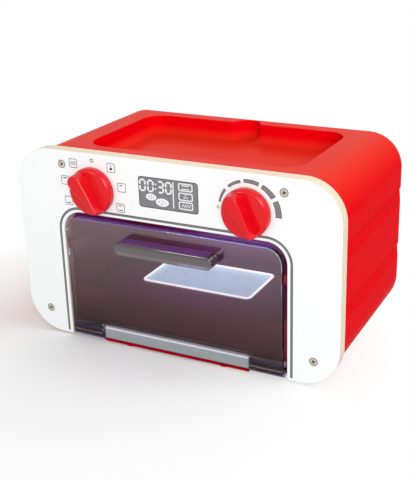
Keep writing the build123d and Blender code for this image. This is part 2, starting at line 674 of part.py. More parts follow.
# ---------------------------------------------------------------- oven cavity
# Red liner: box, flange behind the board, apron below it, light box under its floor, door stops
with BuildPart() as cavity_liner:
    with BuildSketch(upright(BOARD_T)):
        with Locations((0, flange_bottom)):
            Rectangle(2 * flange_half, flange_top - flange_bottom, align=(Align.CENTER, Align.MIN))
    extrude(amount=-LINER_T)
    with BuildSketch(upright(BOARD_T)):
        with Locations((0, (liner_top + liner_bottom) / 2)):
            RectangleRounded(2 * liner_half, liner_top - liner_bottom, CAVITY_R + LINER_T)
    extrude(amount=-(cavity_back + LINER_T - BOARD_T))
    with BuildSketch(upright(BOARD_T)):
        with Locations((0, (cavity_top + CAVITY_FLOOR) / 2)):
            RectangleRounded(CAVITY_W, cavity_top - CAVITY_FLOOR, CAVITY_R)
    extrude(amount=-(cavity_back - BOARD_T), mode=Mode.SUBTRACT)
    with BuildSketch(Plane.XY.offset(ledge_z)):
        with Locations((0, PLATE_Y)):
            RectangleRounded(light_w + 2 * LINER_T, light_d + 2 * LINER_T, light_r + LINER_T)
    extrude(amount=liner_bottom - ledge_z)
    with BuildSketch(Plane.XY.offset(plate_board_z)):
        with Locations((0, PLATE_Y)):
            RectangleRounded(light_w, light_d, light_r)
    extrude(amount=CAVITY_FLOOR - plate_board_z, mode=Mode.SUBTRACT)
    with Locations((0, PLATE_Y, ledge_z)):
        Box(light_w - 2 * LEDGE_W, light_d - 2 * LEDGE_W, LEDGE_T, align=ON_TOP, mode=Mode.SUBTRACT)
    for side in (-1, 1):
        with Locations((side * (cavity_half + LINER_T / 2 - stop_w / 2), door_back + SEAT_GAP, STOP_Z)):
            Box(stop_w, flange_back - door_back - SEAT_GAP, STOP_H,
                align=(Align.CENTER, Align.MIN, Align.CENTER))
    with Locations(Location((0, LAMP_Y, cavity_top))):
        Cylinder(LENS_NECK_R + SNUG_FIT, LINER_T, align=ON_TOP, mode=Mode.SUBTRACT)
    with BuildSketch(upright(BOARD_T)):
        with Locations(*liner_screws_at):
            Circle(SMALL_SCREW_R + SNUG_FIT)
    extrude(amount=-LINER_T, mode=Mode.SUBTRACT)
cavity_liner.part.label = "cavity_liner"

with BuildPart() as liner_screws:
    with Locations(Plane(origin=(0, flange_back, 0), x_dir=(-1, 0, 0), z_dir=(0, 1, 0))):
        with Locations(*[(-x, z) for x, z in liner_screws_at]):
            pan_screw(SMALL_HEAD_R, SMALL_HEAD_H, SMALL_SCREW_R, LINER_T + BITE - TIP_GAP)
liner_screws.part.label = "liner_screws"

# White diffuser plate: a tray in the floor's hole, its rim resting on the floor
with BuildPart() as light_plate:
    with BuildSketch(Plane.XY.offset(CAVITY_FLOOR)):
        with Locations((0, PLATE_Y)):
            RectangleRounded(PLATE_W, PLATE_D, PLATE_R)
    extrude(amount=PLATE_TOP - CAVITY_FLOOR)
    fillet(light_plate.faces().sort_by(Axis.Z)[-1].edges(), PLATE_EDGE_R)
    with BuildSketch(Plane.XY.offset(CAVITY_FLOOR)):
        with Locations((0, PLATE_Y)):
            RectangleRounded(light_w - 2 * PLATE_GAP, light_d - 2 * PLATE_GAP, light_r - PLATE_GAP)
    extrude(amount=PLATE_TOP - PLATE_DISH - PLATE_FLOOR_T - CAVITY_FLOOR)
    with BuildSketch(Plane.XY.offset(PLATE_TOP)):
        with Locations((0, PLATE_Y)):
            RectangleRounded(PLATE_W - 2 * PLATE_RIM, PLATE_D - 2 * PLATE_RIM, PLATE_R - PLATE_RIM)
    extrude(amount=-PLATE_DISH, mode=Mode.SUBTRACT)
light_plate.part.label = "light_plate"

with BuildPart() as plate_board:
    with BuildSketch(Plane.XY.offset(plate_board_z)):
        with Locations((0, PLATE_Y)):
            RectangleRounded(plate_board_w, plate_board_d, light_r - SEAT_GAP)
    extrude(amount=PCB_T)
plate_board.part.label = "plate_board"

with BuildPart() as plate_leds:
    with Locations((0, PLATE_Y, plate_board_z + PCB_T)):
        with GridLocations(plate_board_w / 4, plate_board_d / 2, 4, 2):
            Cylinder(LED_R, LED_H, align=ON_TOP)
    fillet(plate_leds.edges().filter_by(GeomType.CIRCLE).group_by(Axis.Z)[-1], LED_DOME_R)
plate_leds.part.label = "plate_leds"

# Purple ceiling lamp: lens cup through the liner, its board on top, one lamp inside
with BuildPart() as lamp_lens:
    with Locations((0, LAMP_Y, lens_low)):
        Cylinder(LENS_R, LENS_DROP, align=ON_TOP)
        fillet(lamp_lens.edges().filter_by(GeomType.CIRCLE).group_by(Axis.Z)[0], LENS_EDGE_R)
        Cylinder(LENS_NECK_R, LENS_DROP + LINER_T, align=ON_TOP)
    with Locations((0, LAMP_Y, lens_low + LENS_T)):
        Cylinder(LENS_NECK_R - LENS_T, LENS_DROP + LINER_T, align=ON_TOP, mode=Mode.SUBTRACT)
lamp_lens.part.label = "lamp_lens"

with BuildPart() as lamp_board:
    with Locations((0, LAMP_Y, liner_top)):
        Cylinder(LENS_R, PCB_T, align=ON_TOP)
lamp_board.part.label = "lamp_board"

with BuildPart() as lamp_led:
    with Locations((0, LAMP_Y, liner_top)):
        Cylinder(LAMP_LED_R, LED_H, align=BELOW)
    fillet(lamp_led.edges().filter_by(GeomType.CIRCLE).group_by(Axis.Z)[0], LAMP_DOME_R)
lamp_led.part.label = "lamp_led"

# ---------------------------------------------------------------- control board
with BuildPart() as control_board:
    with BuildSketch(upright(control_front)):
        with Locations((0, (control_low + control_high) / 2)):
            Rectangle(control_w, control_high - control_low)
        with Locations(*spacers_at):
            Circle(SMALL_SCREW_R + SNUG_FIT, mode=Mode.SUBTRACT)
    extrude(amount=-PCB_T)
control_board.part.label = "control_board"

with BuildPart() as board_spacers:
    for x, z in spacers_at:
        with BuildSketch(upright(BOARD_T)):
            with Locations((x, z)):
                Circle(SPACER_R)
                Circle(SMALL_SCREW_R + SNUG_FIT, mode=Mode.SUBTRACT)
    extrude(amount=-(control_front - BOARD_T))
board_spacers.part.label = "board_spacers"

with BuildPart() as spacer_screws:
    with Locations(Plane(origin=(0, control_back, 0), x_dir=(-1, 0, 0), z_dir=(0, 1, 0))):
        with Locations(*[(-x, z) for x, z in spacers_at]):
            pan_screw(SMALL_HEAD_R, SMALL_HEAD_H, SMALL_SCREW_R, control_back - BOARD_T + BITE - TIP_GAP)
spacer_screws.part.label = "spacer_screws"

# Chip, capacitor and cable connectors on the back of the control board
connector_z = (control_low + control_high) / 2
with BuildPart() as control_parts:
    with Locations(*[(x, control_back, connector_z) for x in CONNECTORS_X.values()]):
        Box(*CONNECTOR, align=(Align.CENTER, Align.MIN, Align.CENTER))
    with Locations((CHIP_X, control_back, connector_z)):
        Box(*CHIP, align=(Align.CENTER, Align.MIN, Align.CENTER))
    with Locations(Location((CAPACITOR_X, control_back, connector_z), (-90, 0, 0))):
        Cylinder(CAPACITOR_R, CAPACITOR_L, align=ON_TOP)
control_parts.part.label = "control_parts"

# ---------------------------------------------------------------- speaker
basket_r = SPEAKER_R - SPEAKER_SHEET
basket_in = SPEAKER_R - SPEAKER_FLANGE_W
with BuildPart() as speaker_frame:
    with BuildSketch(upright(back_in)):
        with Locations((SPEAKER_X, SPEAKER_Z)):
            Circle(SPEAKER_R)
            Circle(basket_in, mode=Mode.SUBTRACT)
    extrude(amount=SPEAKER_FLANGE_T)
    with BuildSketch(upright(back_in)):
        with Locations((SPEAKER_X, SPEAKER_Z)):
            Circle(basket_r)
            Circle(basket_in, mode=Mode.SUBTRACT)
    extrude(amount=SPEAKER_L)
    with BuildSketch(upright(back_in - SPEAKER_L + SPEAKER_SHEET)):
        with Locations((SPEAKER_X, SPEAKER_Z)):
            Circle(basket_r)
            with PolarLocations(SPEAKER_R - BASKET_HOLES_IN, 6):
                Circle(BASKET_HOLE_R, mode=Mode.SUBTRACT)
    extrude(amount=SPEAKER_SHEET)
speaker_frame.part.label = "speaker_frame"

with BuildPart() as speaker_cone:
    with Locations(Location((SPEAKER_X, back_in - SPEAKER_SHEET, SPEAKER_Z), (90, 0, 0))):
        Cone(basket_in - SNUG_FIT, CONE_TIP_R, CONE_L, align=ON_TOP)
        Cone(basket_in - SNUG_FIT - CONE_T, CONE_TIP_R - CONE_T, CONE_L - CONE_T, align=ON_TOP,
             mode=Mode.SUBTRACT)
speaker_cone.part.label = "speaker_cone"

with BuildPart() as speaker_magnet:
    with Locations(Location((SPEAKER_X, back_in - SPEAKER_L, SPEAKER_Z), (90, 0, 0))):
        Cylinder(MAGNET_R, MAGNET_T, align=ON_TOP)
    chamfer(speaker_magnet.edges().filter_by(GeomType.CIRCLE), MAGNET_CHAMFER)
speaker_magnet.part.label = "speaker_magnet"

# ---------------------------------------------------------------- batteries
cells = [(row, well_y + (row - (CELL_COUNT - 1) / 2) * CELL_PITCH, 1 if row % 2 else -1)
         for row in range(CELL_COUNT)]
with BuildPart() as batteries:
    for row, y, nub_side in cells:
        end = nub_side * (well_half - CONTACT_T)
        lie = (0, 90 * nub_side, 0)
        with Locations(Location((end, y, cell_z), lie)):
            Cylinder(NUB_R, NUB_L, align=BELOW)
        with Locations(Location((end - nub_side * NUB_L, y, cell_z), lie)):
            Cylinder(CELL_R, CELL_L - NUB_L, align=BELOW)
batteries.part.label = "batteries"

with BuildPart() as contact_plates:
    for row, y, nub_side in cells:
        for side in (-1, 1):
            with Locations((side * (well_half - CONTACT_T / 2), y, cell_z)):
                Box(CONTACT_T, CONTACT_W, CONTACT_H)
contact_plates.part.label = "contact_plates"

with BuildPart() as contact_springs:
    for row, y, nub_side in cells:
        plate_face = -nub_side * (well_half - CONTACT_T)
        with Locations(Location((plate_face, y, cell_z), (0, 90 * nub_side, 0))):
            Cone(SPRING_FOOT_R, SPRING_TIP_R, SPRING_L, align=ON_TOP)
            Cone(SPRING_FOOT_R - SPRING_WIRE, SPRING_TIP_R - SPRING_WIRE, SPRING_L, align=ON_TOP,
                 mode=Mode.SUBTRACT)
contact_springs.part.label = "contact_springs"

with BuildPart() as battery_cover:
    with Locations((-well_half - REBATE + SEAT_GAP, well_y, base_z)):
        Box(cover_reach + well_half + REBATE - 2 * SEAT_GAP, well_depth + 2 * REBATE - 2 * SEAT_GAP,
            COVER_T, align=(Align.MIN, Align.CENTER, Align.MIN))
    fillet(battery_cover.edges().filter_by(Axis.Z), COVER_R)
    with Locations((well_half + COVER_SCREW_OFFSET, well_y, base_z)):
        Cylinder(SMALL_SCREW_R + SNUG_FIT, COVER_T, align=ON_TOP, mode=Mode.SUBTRACT)
        Cylinder(SMALL_HEAD_R + SEAT_GAP, COVER_T / 2, align=ON_TOP, mode=Mode.SUBTRACT)
    # thumb grooves across the free end
    with Locations(*[(-well_half + inside, well_y, base_z) for inside in THUMB_GROOVES]):
        Box(THUMB_GROOVE_W, THUMB_GROOVE_L, THUMB_GROOVE_DEPTH, align=ON_TOP, mode=Mode.SUBTRACT)
battery_cover.part.label = "battery_cover"

with BuildPart() as cover_screw:
    with Locations(Plane(origin=(well_half + COVER_SCREW_OFFSET, well_y, base_z + COVER_T / 2),
                         x_dir=(1, 0, 0), z_dir=(0, 0, -1))):
        pan_screw(SMALL_HEAD_R, COVER_T / 2, SMALL_SCREW_R, BITE)
cover_screw.part.label = "cover_screw"

# ---------------------------------------------------------------- cables
cable_end = control_back + CONNECTOR[1]
side_run = (liner_half + WIDTH / 2 - WALL) / 2
low_run = floor_in + CABLE_RISE + CABLE_R
plate_cable = cable([(-light_w / 4, PLATE_Y, plate_board_z), (-light_w / 4, PLATE_Y, low_run),
                     (-side_run, PLATE_Y, low_run), (-side_run, PLATE_Y, connector_z),
                     (CONNECTORS_X["plate"], PLATE_Y, connector_z),
                     (CONNECTORS_X["plate"], cable_end, connector_z)])
plate_cable.part.label = "plate_cable"
battery_cable = cable([(well_half + WELL_WALL, well_y - well_depth / 3, cell_z),
                       (side_run, well_y - well_depth / 3, cell_z),
                       (side_run, well_y - well_depth / 3, connector_z),
                       (CONNECTORS_X["battery"], well_y - well_depth / 3, connector_z),
                       (CONNECTORS_X["battery"], cable_end, connector_z)])
battery_cable.part.label = "battery_cable"
speaker_exit = back_in - COLLAR_H - 2 * CABLE_R
speaker_cable = cable([(SPEAKER_X, speaker_exit, SPEAKER_Z + basket_r),
                       (SPEAKER_X, speaker_exit, connector_z),
                       (CONNECTORS_X["speaker"], speaker_exit, connector_z),
                       (CONNECTORS_X["speaker"], cable_end, connector_z)])
speaker_cable.part.label = "speaker_cable"
lamp_cable = cable([(CONNECTORS_X["lamp"], LAMP_Y, liner_top + PCB_T),
                    (CONNECTORS_X["lamp"], LAMP_Y, connector_z),
                    (CONNECTORS_X["lamp"], cable_end, connector_z)])
lamp_cable.part.label = "lamp_cable"

# ---------------------------------------------------------------- one file per piece
# The files stand centred over the origin, front to back as well
front_reach = max(KNOB_FACE_GAP + KNOB_DISC_T + GRIP_H, DOOR_PROUD + HANDLE_OUT)
mid_y = (DEPTH - front_reach) / 2
pieces = [front_board, board_screws, housing, feet, door, hinge_bar, hinge_rod, hinge_washers,
          bar_screws, mode_knob, timer_knob, mode_shaft, timer_shaft, mode_switch, timer_switch,
          knob_felts, cavity_liner, liner_screws, light_plate, plate_board, plate_leds, lamp_lens,
          lamp_board, lamp_led, control_board, board_spacers, spacer_screws, control_parts,
          speaker_frame, speaker_cone, speaker_magnet, batteries, contact_plates, contact_springs,
          battery_cover, cover_screw, plate_cable, battery_cable, speaker_cable, lamp_cable]
os.makedirs("parts", exist_ok=True)
for piece in pieces:
    centred = Pos(0, -mid_y, 0) * piece.part
    centred.label = piece.part.label
    export_step(centred, f"parts/{centred.label}.step")
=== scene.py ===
"""Toy oven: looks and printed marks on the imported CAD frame.

Metres, in the frame's own axes: X to the right, Y into the oven, Z up from the table.
"""
import json
from math import cos, pi, radians, sin

import bmesh
import bpy
from mathutils import Matrix, Vector


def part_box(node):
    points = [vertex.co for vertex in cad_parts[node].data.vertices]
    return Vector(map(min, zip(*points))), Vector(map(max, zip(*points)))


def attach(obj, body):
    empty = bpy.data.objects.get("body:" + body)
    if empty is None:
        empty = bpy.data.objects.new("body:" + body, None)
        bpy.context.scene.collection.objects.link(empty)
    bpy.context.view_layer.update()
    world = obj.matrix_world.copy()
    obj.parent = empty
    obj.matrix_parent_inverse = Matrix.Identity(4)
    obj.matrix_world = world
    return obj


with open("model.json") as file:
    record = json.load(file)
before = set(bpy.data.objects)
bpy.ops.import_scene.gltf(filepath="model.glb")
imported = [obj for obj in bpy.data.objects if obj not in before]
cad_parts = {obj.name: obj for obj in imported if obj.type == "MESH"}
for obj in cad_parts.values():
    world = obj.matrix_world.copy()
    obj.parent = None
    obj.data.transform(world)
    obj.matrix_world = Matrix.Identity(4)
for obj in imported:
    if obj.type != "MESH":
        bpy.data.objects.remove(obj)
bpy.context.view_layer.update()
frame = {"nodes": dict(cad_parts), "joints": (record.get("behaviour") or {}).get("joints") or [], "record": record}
nodes = frame["nodes"]
scene = bpy.context.scene
MM = 0.001
SCREW_HEAD = 8.2 * MM    # across the heads of the board's screws

# ---------------------------------------------------------------- places taken from the frame
board_low, board_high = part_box("front_board")
door_low, door_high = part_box("door")
bar_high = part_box("hinge_bar")[1]
plate_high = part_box("light_plate")[1]
liner_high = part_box("cavity_liner")[1]
lens_low, lens_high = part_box("lamp_lens")
LAMP_AT = ((lens_low.x + lens_high.x) / 2, (lens_low.y + lens_high.y) / 2, lens_low.z)
screws_low, screws_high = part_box("board_screws")
screw_mid = (screws_low.z + screws_high.z) / 2
screw_up = (screws_high.z - screws_low.z) / 2 - SCREW_HEAD / 2
low_screw_x = screws_high.x - SCREW_HEAD / 2
top_screw_x = max(point.co.x for point in nodes["board_screws"].data.vertices
                  if point.co.z > screw_mid) - SCREW_HEAD / 2
FACE_Y = board_low.y                     # the board's painted face
joint_at = {joint["name"]: Vector(joint["pos_m"]) for joint in frame["joints"]}
MODE_AT = joint_at["mode_turn"]
TIMER_AT = joint_at["timer_turn"]

# ---------------------------------------------------------------- camera
AZIMUTH = 27.704         # degrees, from straight in front towards the right
ELEVATION = 21.267
ROLL = -1.744            # degrees; at 0 the picture is level
DISTANCE = 0.98972
TARGET = Vector((-0.01313, 0.015, 0.08329))
LENS = 72.14             # millimetres on a 36 mm sensor along the long side


def add_camera():
    turn, lift, roll = radians(AZIMUTH), radians(ELEVATION), radians(ROLL)
    back = Vector((sin(turn) * cos(lift), -cos(turn) * cos(lift), sin(lift)))
    level_right = (-back).cross(Vector((0, 0, 1))).normalized()
    level_up = level_right.cross(-back)
    right = cos(roll) * level_right + sin(roll) * level_up
    up = cos(roll) * level_up - sin(roll) * level_right
    data = bpy.data.cameras.new("camera")
    data.lens = LENS
    data.clip_start = 0.05
    camera = bpy.data.objects.new("camera", data)
    scene.collection.objects.link(camera)
    placed = Matrix((right, up, back)).transposed().to_4x4()
    placed.translation = TARGET + back * DISTANCE
    camera.matrix_world = placed
    scene.camera = camera


# ---------------------------------------------------------------- material helpers
class Finish:
    """A material around one Principled shader, with short calls for the nodes that feed it."""

    def __init__(self, name, color, roughness=0.5, **sockets):
        self.material = bpy.data.materials.new(name)
        self.material.use_nodes = True
        self.tree = self.material.node_tree
        self.shader = self.tree.nodes["Principled BSDF"]
        self.shader.inputs["Base Color"].default_value = (*color, 1)
        self.shader.inputs["Roughness"].default_value = roughness
        for socket, value in sockets.items():
            self.shader.inputs[socket.replace("_", " ")].default_value = value
        self.bumped = None
        self._place = None

    def node(self, kind, **values):
        made = self.tree.nodes.new(kind)
        for key, value in values.items():
            if key in made.inputs:
                made.inputs[key].default_value = value
            else:
                setattr(made, key, value)
        return made

    def link(self, source, target):
        self.tree.links.new(source, target)

    def place(self, stretch=(1, 1, 1)):
        """Coordinates in metres on the object, stretched if asked."""
        if self._place is None:
            self._place = self.node("ShaderNodeTexCoord").outputs["Object"]
        if stretch == (1, 1, 1):
            return self._place
        mapping = self.node("ShaderNodeMapping")
        mapping.inputs["Scale"].default_value = stretch
        self.link(self._place, mapping.inputs["Vector"])
        return mapping.outputs["Vector"]

    def axis(self, name):
        split = self.node("ShaderNodeSeparateXYZ")
        self.link(self.place(), split.inputs[0])
        return split.outputs[name]

    def away_from(self, point):
        """Distance in metres from a place in the frame."""
        made = self.node("ShaderNodeVectorMath", operation="DISTANCE")
        self.link(self.place(), made.inputs[0])
        made.inputs[1].default_value = point
        return made.outputs["Value"]

    def math(self, operation, first, second=0.0):
        made = self.node("ShaderNodeMath", operation=operation)
        for slot, value in enumerate((first, second)):
            if isinstance(value, (int, float)):
                made.inputs[slot].default_value = value
            else:
                self.link(value, made.inputs[slot])
        return made.outputs[0]

    def noise(self, size, detail=2.0, rough=0.5, stretch=(1, 1, 1)):
        """Noise from 0 to 1 whose lumps are about size metres across."""
        made = self.node("ShaderNodeTexNoise", Scale=1 / size, Detail=detail, Roughness=rough)
        self.link(self.place(stretch), made.inputs["Vector"])
        return made.outputs["Fac"]

    def spread(self, source, low, high, to_low=0.0, to_high=1.0, soft=False):
        """Maps low to to_low and high to to_high, and holds the ends."""
        kind = "SMOOTHERSTEP" if soft else "LINEAR"
        made = self.node("ShaderNodeMapRange", interpolation_type=kind)
        made.inputs["From Min"].default_value = low
        made.inputs["From Max"].default_value = high
        made.inputs["To Min"].default_value = to_low
        made.inputs["To Max"].default_value = to_high
        self.link(source, made.inputs["Value"])
        return made.outputs[0]

    def mix(self, share, first, second):
        """Colour between two, each a colour or a socket, by a share that is a socket."""
        made = self.node("ShaderNodeMix", data_type="RGBA")
        for slot, value in (("Factor", share), ("A", first), ("B", second)):
            target = next(i for i in made.inputs if i.name == slot and i.enabled)
            if isinstance(value, tuple):
                target.default_value = (*value, 1)
            else:
                self.link(value, target)
        return next(o for o in made.outputs if o.enabled)

    def drive(self, socket, source):
        """Feeds one of the shader's sockets."""
        self.link(source, self.shader.inputs[socket])

    def color(self, source):
        self.drive("Base Color", source)

    def roughness(self, source, low, high):
        """Roughness that varies with noise, most of which lies between 0.2 and 0.8."""
        self.drive("Roughness", self.spread(source, 0.2, 0.8, low, high, True))

    def bump(self, source, height, strength):
        """Adds relief of that height in metres; later calls stack on earlier ones."""
        made = self.node("ShaderNodeBump", Strength=strength, Distance=height)
        self.link(source, made.inputs["Height"])
        if self.bumped is not None:
            self.link(self.bumped, made.inputs["Normal"])
        self.bumped = made.outputs["Normal"]
        self.drive("Normal", self.bumped)


# ---------------------------------------------------------------- materials
# Moulded plastic
DRIFT_SIZE = 120 * MM    # patches over which its colour drifts
DRIFT = 0.965            # and how deep it gets in them
WANDER_SIZE = 50 * MM    # patches over which its roughness wanders
GRAIN = 0.5 * MM


def deeper(color, share=DRIFT):
    return tuple(channel * share for channel in color)


# Front board
LAYER = 1.45 * MM        # one layer of the plywood
PAINT_DEPTH = 0.9 * MM   # paint runs round the front edge
PAINT = ((0.89, 0.905, 0.905), (0.91, 0.925, 0.925))
PALE_LAYER = ((0.77, 0.68, 0.52), (0.87, 0.79, 0.63))
DARK_LAYER = ((0.60, 0.49, 0.34), (0.76, 0.65, 0.49))


def painted_ply():
    """White paint on the front, bare layered edges behind it."""
    finish = Finish("painted_ply", (0.9, 0.9, 0.89), 0.45, Specular_IOR_Level=0.3)
    deep = finish.math("SUBTRACT", finish.axis("Y"), FACE_Y)
    layer = finish.math("FRACT", finish.math("DIVIDE", deep, 2 * LAYER))
    crosswise = finish.math("GREATER_THAN", layer, 0.5)
    fibres = finish.noise(4 * MM, 4, 0.6, stretch=(0.25, 6, 0.25))
    end_grain = finish.noise(1.2 * MM, 3, 0.7)
    pale = finish.mix(fibres, *PALE_LAYER)
    dark = finish.mix(end_grain, *DARK_LAYER)
    edge = finish.mix(crosswise, pale, dark)
    bare = finish.math("GREATER_THAN", deep, PAINT_DEPTH)
    clouds = finish.noise(50 * MM, 2)
    finish.color(finish.mix(bare, finish.mix(clouds, *PAINT), edge))
    finish.roughness(finish.noise(12 * MM, 3), 0.38, 0.52)
    finish.bump(finish.noise(1.6 * MM, 2), 0.03 * MM, 0.5)
    finish.bump(finish.math("MULTIPLY", end_grain, bare), 0.12 * MM, 0.6)
    return finish.material


def moulded(name, color, roughness=0.42, grain=GRAIN, relief=0.02 * MM, **sockets):
    """Moulded plastic: faint colour drift, fine grain, and roughness that wanders a little."""
    finish = Finish(name, color, roughness, **sockets)
    finish.color(finish.mix(finish.noise(DRIFT_SIZE, 1), deeper(color), color))
    finish.roughness(finish.noise(WANDER_SIZE, 2), roughness - 0.03, roughness + 0.03)
    finish.bump(finish.noise(grain, 2), relief, 0.4)
    return finish.material


# Housing
RED = (0.76, 0.0, 0.005)
RED_TOP_PAINTED_LIGHT = (0.75, 0.020, 0.009)       # painted light: a warmer red on faces that point up, for light from above
RED_PAINTED_SHADE = (0.42, 0.0, 0.004)        # painted shade in grooves and corners
RED_SEAM_SHADE = (0.16, 0.0, 0.002)        # painted shade in the seam behind the board
RED_SILL_SHADE = (0.10, 0.0, 0.01)         # painted shade, mixed into the lip under the hinge bar
SILL_SHADE_SHARE = 0.45
UPWARD = (0.15, 0.95)    # Z of the normal, from a side to the top
NOOK_REACH = 5 * MM
NOOK = (0.60, 0.96)      # openness over which the painted shade fades, from a groove's bottom to plain wall
SEAM_NOOK = (0.25, 0.85)
SEAM_BEHIND = 0.3 * MM   # the painted seam shade's middle, behind the board's back
SEAM_HALF = (0.4 * MM, 0.9 * MM)     # it fades out between these
SIDE_GLOSS, TOP_GLOSS = 0.003, 0.017     # specular level


def housing_red():
    """Satin red plastic, glossier where it faces up, with painted light and shade in its colour:
    a warmer red on faces that point up for light from above, and painted shade in grooves and
    corners, on the lip under the hinge bar and along the seam behind the board."""
    finish = Finish("red_plastic", RED, 0.4)
    body = finish.mix(finish.noise(DRIFT_SIZE, 1), deeper(RED), RED)
    facing = finish.node("ShaderNodeSeparateXYZ")
    finish.link(finish.node("ShaderNodeNewGeometry").outputs["Normal"], facing.inputs[0])
    upper = finish.spread(facing.outputs["Z"], *UPWARD)
    # painted light: a warmer red where the surface faces up
    body = finish.mix(upper, body, RED_TOP_PAINTED_LIGHT)
    nook = finish.node("ShaderNodeAmbientOcclusion", samples=8, Distance=NOOK_REACH)
    openness = nook.outputs["AO"]
    # painted shade in grooves and corners, from ambient occlusion
    body = finish.mix(finish.spread(openness, *NOOK), RED_PAINTED_SHADE, body)
    # painted shade along the seam behind the board, where it is closed in
    behind = finish.math("SUBTRACT", finish.axis("Y"), board_high.y + SEAM_BEHIND)
    clear = finish.math("MULTIPLY", finish.spread(finish.math("ABSOLUTE", behind), *SEAM_HALF),
                        finish.spread(openness, *SEAM_NOOK))
    # painted shade on the lip under the hinge bar
    sill_shade = finish.math("LESS_THAN", finish.axis("Y"), board_high.y - 1 * MM)
    sill_shade = finish.math("MULTIPLY", sill_shade, SILL_SHADE_SHARE)
    finish.color(finish.mix(clear, RED_SEAM_SHADE, finish.mix(sill_shade, body, RED_SILL_SHADE)))
    finish.drive("Specular IOR Level", finish.spread(upper, 0, 1, SIDE_GLOSS, TOP_GLOSS))
    finish.roughness(finish.noise(WANDER_SIZE, 2), 0.32, 0.38)
    finish.bump(finish.noise(GRAIN, 2), 0.006 * MM, 0.4)
    return finish.material


# Hinge bar
BAR_TONES = ((0.27, 0.30, 0.32), (0.31, 0.34, 0.36))
# painted highlight along the bar's top edge
BAR_HIGHLIGHT = (0.66, 0.69, 0.76)
BAR_HIGHLIGHT_BAND = (1.9 * MM, 1.1 * MM)     # the painted highlight starts and is full this far below its top


def bar_grey():
    """Satin grey plastic of the hinge bar, with a painted highlight along its top edge."""
    finish = Finish("grey_plastic", (0.30, 0.33, 0.35), 0.24)
    body = finish.mix(finish.noise(20 * MM, 2), *BAR_TONES)
    start, full = BAR_HIGHLIGHT_BAND
    top = finish.spread(finish.axis("Z"), bar_high.z - start, bar_high.z - full)
    finish.color(finish.mix(top, body, BAR_HIGHLIGHT))
    finish.roughness(finish.noise(30 * MM, 2), 0.2, 0.28)
    finish.bump(finish.noise(GRAIN, 2), 0.01 * MM, 0.4)
    return finish.material


# Oven cavity
LINER_LOW = (0.34, 0.018, 0.07)
LINER_DEEP = (0.30, 0.015, 0.06)
LINER_PAINTED_LAMP_LIGHT = (0.23, 0.035, 0.32)     # painted violet lamp light
LAMP_REACH = (0.060, 0.140)          # the painted lamp light fades out between these distances to the lamp
LAMP_BESIDE = 0.3        # its share level with the lamp, growing to 1 at the back wall
BACK_WALL = 6 * MM       # inside the liner's back
BROW = (24 * MM, 12 * MM)            # a band of painted violet lamp light starts and is full this far below the top
BROW_SHARE = 0.85


def cavity_red():
    """Glossy red of the oven cavity, with the lamp's violet light painted into its colour near the lamp and along
    its top.
    """
    finish = Finish("liner_red", LINER_LOW, 0.24)
    near = finish.math("MULTIPLY", finish.spread(finish.away_from(LAMP_AT), *LAMP_REACH, 1, 0),
                       finish.spread(finish.axis("Y"), LAMP_AT[1], liner_high.y - BACK_WALL,
                                     LAMP_BESIDE, 1))
    start, full = BROW
    brow = finish.spread(finish.axis("Z"), liner_high.z - start, liner_high.z - full, 0, BROW_SHARE)
    painted_lamp_light = finish.math("MAXIMUM", near, brow)
    body = finish.mix(finish.noise(DRIFT_SIZE, 1), LINER_DEEP, LINER_LOW)
    finish.color(finish.mix(painted_lamp_light, body, LINER_PAINTED_LAMP_LIGHT))
    finish.roughness(finish.noise(WANDER_SIZE, 2), 0.23, 0.27)
    finish.bump(finish.noise(GRAIN, 2), 0.01 * MM, 0.4)
    return finish.material


# Door
GRIP_REACH = 13.5 * MM   # the grip in front of the door's flat face
DOOR_FACE_Y = door_low.y + GRIP_REACH
grip_heights = [point.co.z for point in nodes["door"].data.vertices
                if point.co.y < DOOR_FACE_Y - GRIP_REACH / 2]
grip_low, grip_high = min(grip_heights), max(grip_heights)
GRIP_ROOT = (1.2 * MM, 0.2 * MM)     # grip ends and panel starts this far before the face
DOOR_TINT = (0.74, 0.62, 0.68)
# painted shade: the panel's tint darkens toward its foot
DOOR_TINT_FOOT_PAINTED_DARK = (0.25, 0.22, 0.20)
MIRROR = (1.0, 1.0, 1.0)
MIRROR_FOOT_PAINTED_DARK = (0.12, 0.11, 0.10)      # painted dark reflection: the panel mirrors less toward its foot
# painted shade on the grip's underside
GRIP_UNDER_SHADE = (0.02, 0.015, 0.02)
GRIP_PAINTED_BANDS = ((0.02, 0.12, (0.14, 0.108, 0.105)), (0.30, 0.12, (0.075, 0.055, 0.06)),
               (0.80, 0.12, (0.008, 0.004, 0.008)), (0.985, 0.012, (0.16, 0.02, 0.20)))
                         # painted reflection and shade up the grip: where a shade starts, how softly, and the
                         # shade
GRIP_CLEAR = 0.12        # how clear the grip is
GRIP_IOR, PANEL_IOR = 1.95, 1.74
PLAIN_IOR = 1.6          # on the socket itself, under the two above
TOP_EDGE_PAINTED_GLOW = 0.14         # painted glow: the lamp's violet caught in the door's top edge
# painted glow of the lamp's violet in the door's foot edge
FOOT_EDGE_PAINTED_GLOW = 0.6 * TOP_EDGE_PAINTED_GLOW
PAINTED_GLOW_VIOLET = (0.35, 0.10, 1.0, 1)
TOP_EDGE = (2.4 * MM, 1.0 * MM)      # below the door's top
FOOT_EDGE = (1.0 * MM, 2.5 * MM)     # above its foot


def grip_painted_light(finish):
    """Painted reflection and shade as the grip's colour, from its underside up."""
    tall = grip_high - grip_low
    shade = GRIP_UNDER_SHADE
    for share, blur, tint in GRIP_PAINTED_BANDS:
        at = grip_low + share * tall
        step = finish.spread(finish.axis("Z"), at - blur * tall, at + blur * tall)
        shade = finish.mix(step, shade, tint)
    return shade


